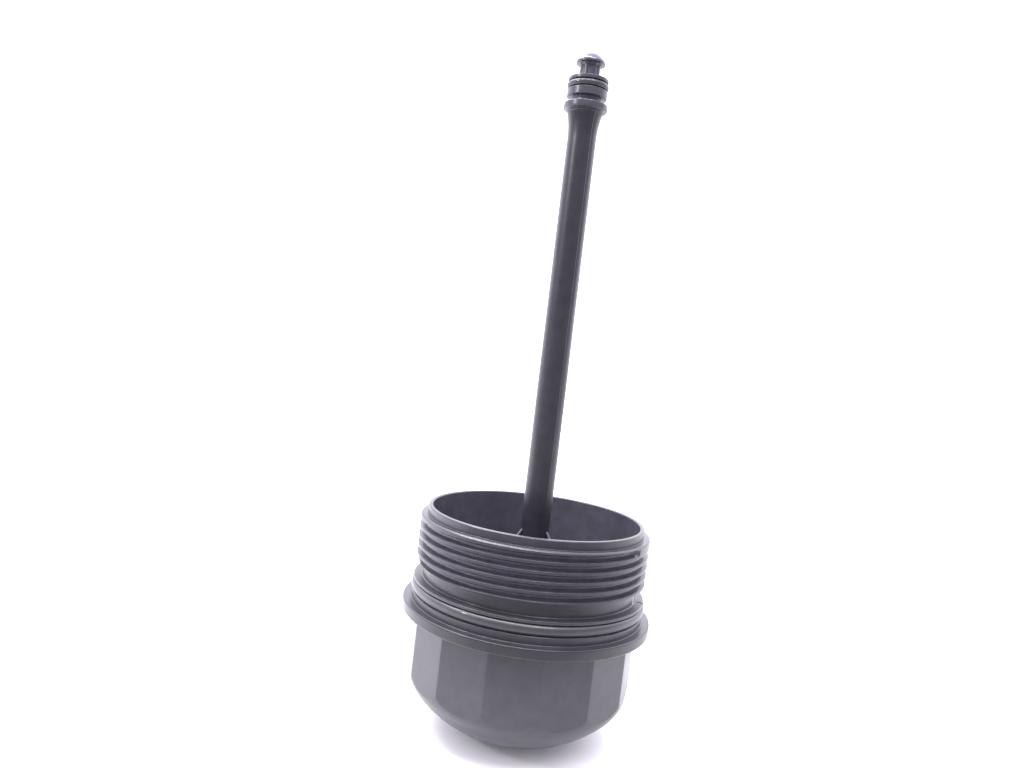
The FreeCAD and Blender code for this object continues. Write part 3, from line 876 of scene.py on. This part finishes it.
def build_stage():
    """A wide pale floor."""
    mesh = bpy.data.meshes.new("floor")
    signs = ((-1, -1), (1, -1), (1, 1), (-1, 1))
    corners = [(FLOOR_REACH * x, FLOOR_REACH * y, 0.0) for x, y in signs]
    mesh.from_pydata(corners, [], [(0, 1, 2, 3)])
    mesh.materials.append(floor_material())
    floor = linked("floor", mesh)


def area_light(name, where, length, width, power):
    """A rectangular lamp, level along its length, that faces the object."""
    lamp = bpy.data.lights.new(name, "AREA")
    lamp.shape = "RECTANGLE"
    lamp.size = length
    lamp.size_y = width
    lamp.energy = power
    light = linked(name, lamp)
    light.location = where
    aim = Vector(LAMP_TARGET) - Vector(where)
    light.rotation_euler = aim.to_track_quat("-Z", "Y").to_euler()


def build_light():
    """A bright surround, dimmer in front, and the lamps."""
    world = bpy.data.worlds.new("surround")
    bpy.context.scene.world = world
    world.use_nodes = True
    tree = world.node_tree
    where = add(tree, "ShaderNodeTexCoord").outputs["Generated"]
    total, *others = ramps(tree, where, SURROUND)
    for light in others:
        total = calculated(tree, "ADD", total, light).outputs[0]
    background = tree.nodes["Background"]
    feed(tree, background.inputs["Color"], SURROUND_COLOUR)
    feed(tree, background.inputs["Strength"], total)
    for lamp in LAMPS:
        area_light(*lamp)


def build_camera():
    """The photograph's view, from 272 mm in front of the axis and 56 mm above the rim."""
    yaw, pitch, roll = (math.radians(turn) for turn in (CAMERA_YAW, CAMERA_PITCH, CAMERA_ROLL))
    toward = Vector((
        math.sin(yaw) * math.cos(pitch),
        math.cos(yaw) * math.cos(pitch),
        math.sin(pitch),
    ))
    right = Vector((math.cos(yaw), -math.sin(yaw), 0.0))
    up = right.cross(toward)
    across = right * math.cos(roll) + up * math.sin(roll)
    upward = up * math.cos(roll) - right * math.sin(roll)
    data = bpy.data.cameras.new("camera")
    data.sensor_width = CAMERA_WIDTH
    data.lens = CAMERA_LENS
    data.clip_start = CAMERA_NEAR
    camera = linked("camera", data)
    turn = Matrix((across, upward, -toward)).transposed().to_4x4()
    camera.matrix_world = Matrix.Translation(Vector(CAMERA_PLACE) * MM) @ turn
    bpy.context.scene.camera = camera


cap_plastic = moulded_plastic("cap_plastic", CAP_PLASTIC, zones=CAP_PAINTED_LIGHT, painted_glint=True)
rod_plastic = moulded_plastic("rod_plastic", ROD_PLASTIC, zones=ROD_PAINTED_LIGHT, polish=ROD_POLISH)
seal_rubber = moulded_plastic("seal_rubber", SEAL_RUBBER, coat=SEAL_COAT)

cup = build_cap()
soften(cup)
dress(cup, cap_plastic, "cap_plastic", "cap_body")
rod = build_rod()
soften(rod)
fins = build_fins()
soften(fins)
dress(rod, rod_plastic, "rod_plastic", "centre_rod")
dress(fins, rod_plastic, "rod_plastic")
large_ring = build_ring("large_ring", *LARGE_RING)
dress(large_ring, seal_rubber, "seal_rubber", "cap_seal")
small_ring = build_ring("small_ring", *SMALL_RING)
dress(small_ring, seal_rubber, "seal_rubber", "tip_seal")

bpy.context.scene.view_settings.view_transform = "Standard"
build_stage()
build_light()
build_camera()
